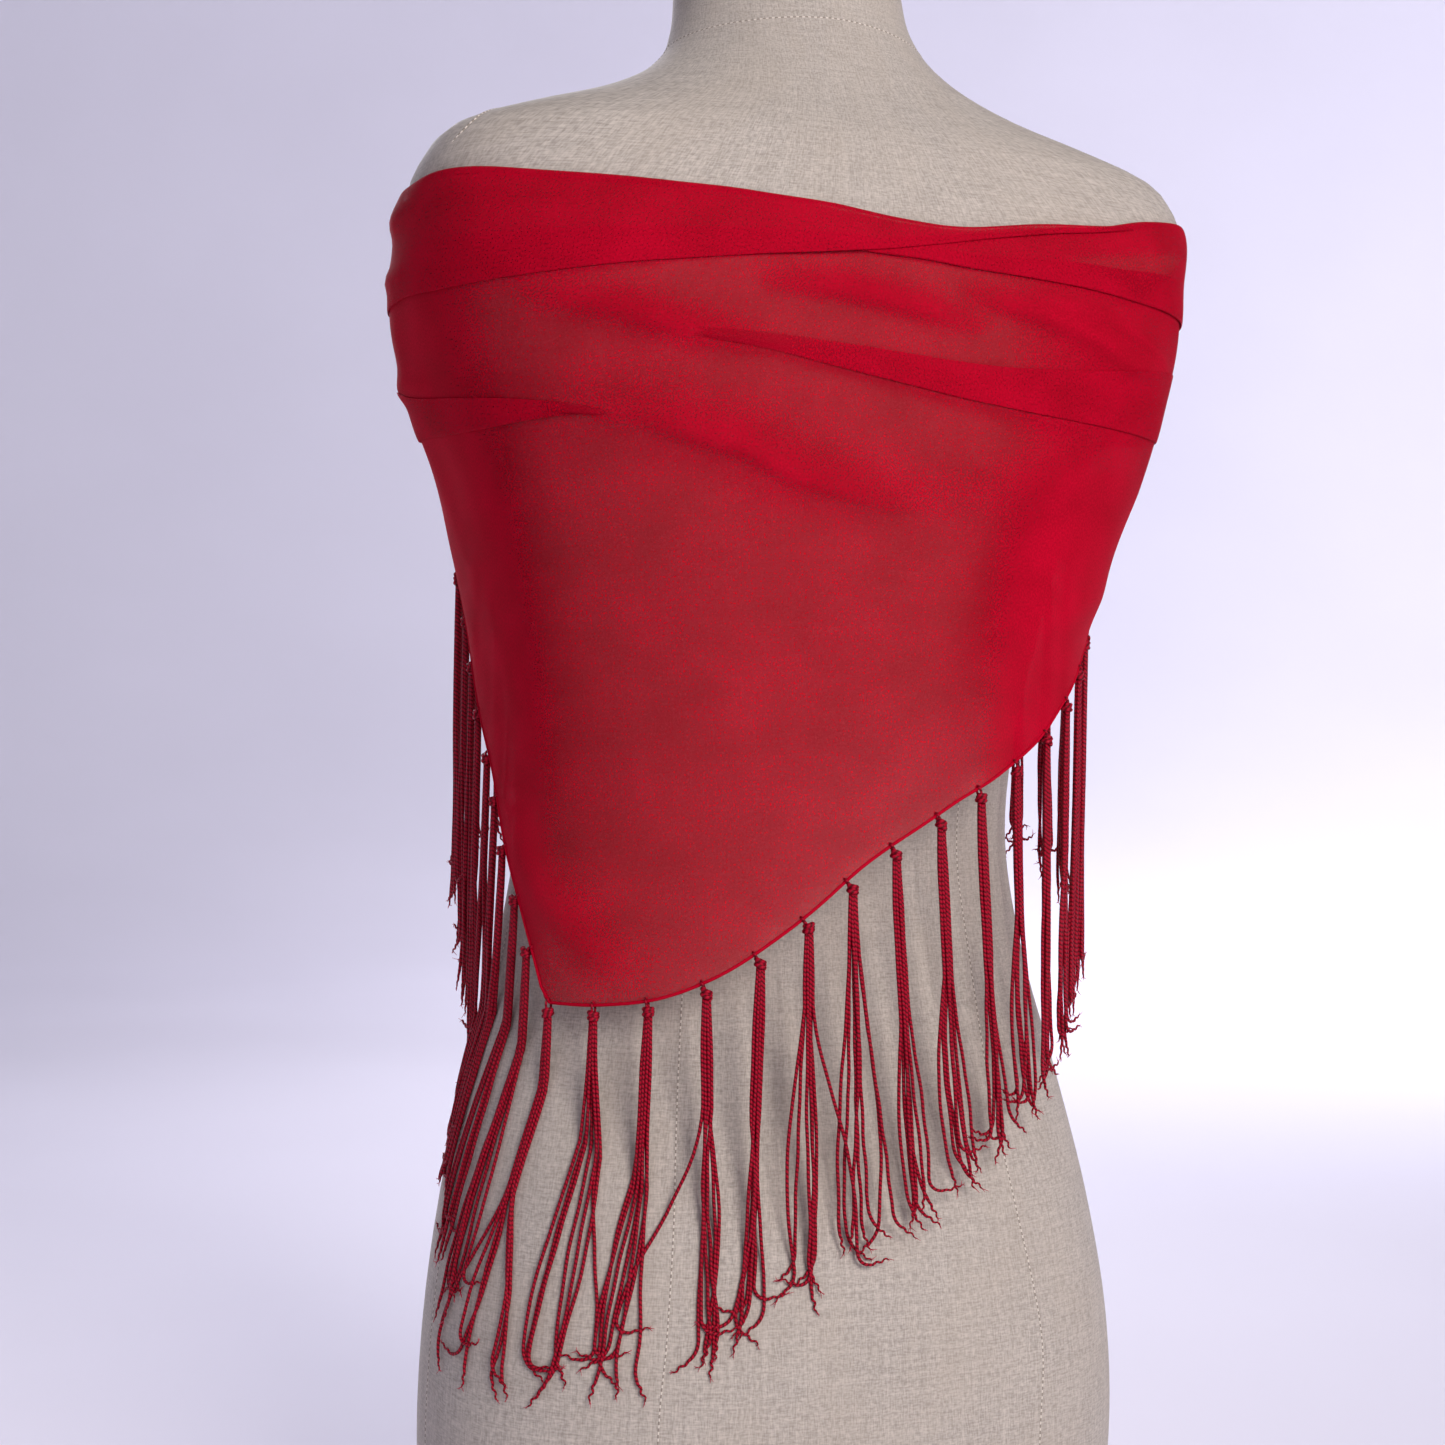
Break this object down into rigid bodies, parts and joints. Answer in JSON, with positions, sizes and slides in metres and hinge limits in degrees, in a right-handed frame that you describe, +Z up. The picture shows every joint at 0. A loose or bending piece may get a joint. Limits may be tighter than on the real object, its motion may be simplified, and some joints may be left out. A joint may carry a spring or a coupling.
{
  "type": "tassel scarf on a dress form",
  "caption": "Sheer red triangular scarf with a rolled hem and knotted cord tassels, draped off the shoulders of a limbless linen-covered dress form.",
  "frame": {"origin": "on the surface that the form stands on, under the middle of its neck", "axes": "+Z up; -Y the way the form's back faces; +X the form's right as seen from behind"},
  "size_m": [0.388, 0.2886, 0.8593],
  "materials": {
    "linen_cover": "natural slubbed linen, matt",
    "varnished_board": "plain wood, satin varnish",
    "red_chiffon": "sheer crepe chiffon, one layer, soft sheen",
    "red_chiffon_doubled": "sheer crepe chiffon folded on itself, deeper red",
    "red_rayon_cord": "twisted rayon cord, silky"
  },
  "bodies": {
    "root": {"dress_form": "linen_cover", "form_base_board": "varnished_board", "form_neck_cap": "varnished_board", "scarf_back": "red_chiffon", "scarf_front_left": "red_chiffon", "scarf_front_right": "red_chiffon", "tassel_01": "red_rayon_cord", "tassel_02": "red_rayon_cord", "tassel_03": "red_rayon_cord", "tassel_04": "red_rayon_cord", "tassel_05": "red_rayon_cord", "tassel_06": "red_rayon_cord", "tassel_07": "red_rayon_cord", "tassel_08": "red_rayon_cord", "tassel_09": "red_rayon_cord", "tassel_10": "red_rayon_cord", "tassel_11": "red_rayon_cord", "tassel_12": "red_rayon_cord", "tassel_13": "red_rayon_cord", "tassel_14": "red_rayon_cord", "tassel_15": "red_rayon_cord", "tassel_16": "red_rayon_cord", "tassel_17": "red_rayon_cord", "tassel_18": "red_rayon_cord", "tassel_19": "red_rayon_cord", "tassel_20": "red_rayon_cord", "tassel_21": "red_rayon_cord", "tassel_22": "red_rayon_cord", "tassel_23": "red_rayon_cord", "tassel_24": "red_rayon_cord", "tassel_25": "red_rayon_cord", "tassel_26": "red_rayon_cord", "tassel_27": "red_rayon_cord", "tassel_28": "red_rayon_cord", "tassel_29": "red_rayon_cord", "tassel_30": "red_rayon_cord", "tassel_31": "red_rayon_cord", "tassel_32": "red_rayon_cord", "tassel_33": "red_rayon_cord", "tassel_34": "red_rayon_cord", "tassel_35": "red_rayon_cord", "tassel_36": "red_rayon_cord", "tassel_37": "red_rayon_cord", "tassel_38": "red_rayon_cord", "tassel_39": "red_rayon_cord", "tassel_40": "red_rayon_cord", "tassel_41": "red_rayon_cord", "tassel_42": "red_rayon_cord", "tassel_43": "red_rayon_cord", "tassel_44": "red_rayon_cord", "top_fold_left": "red_chiffon_doubled", "top_fold_right": "red_chiffon_doubled", "tuck_left": "red_chiffon_doubled", "tuck_right": "red_chiffon_doubled"}
  },
  "joints": []
}
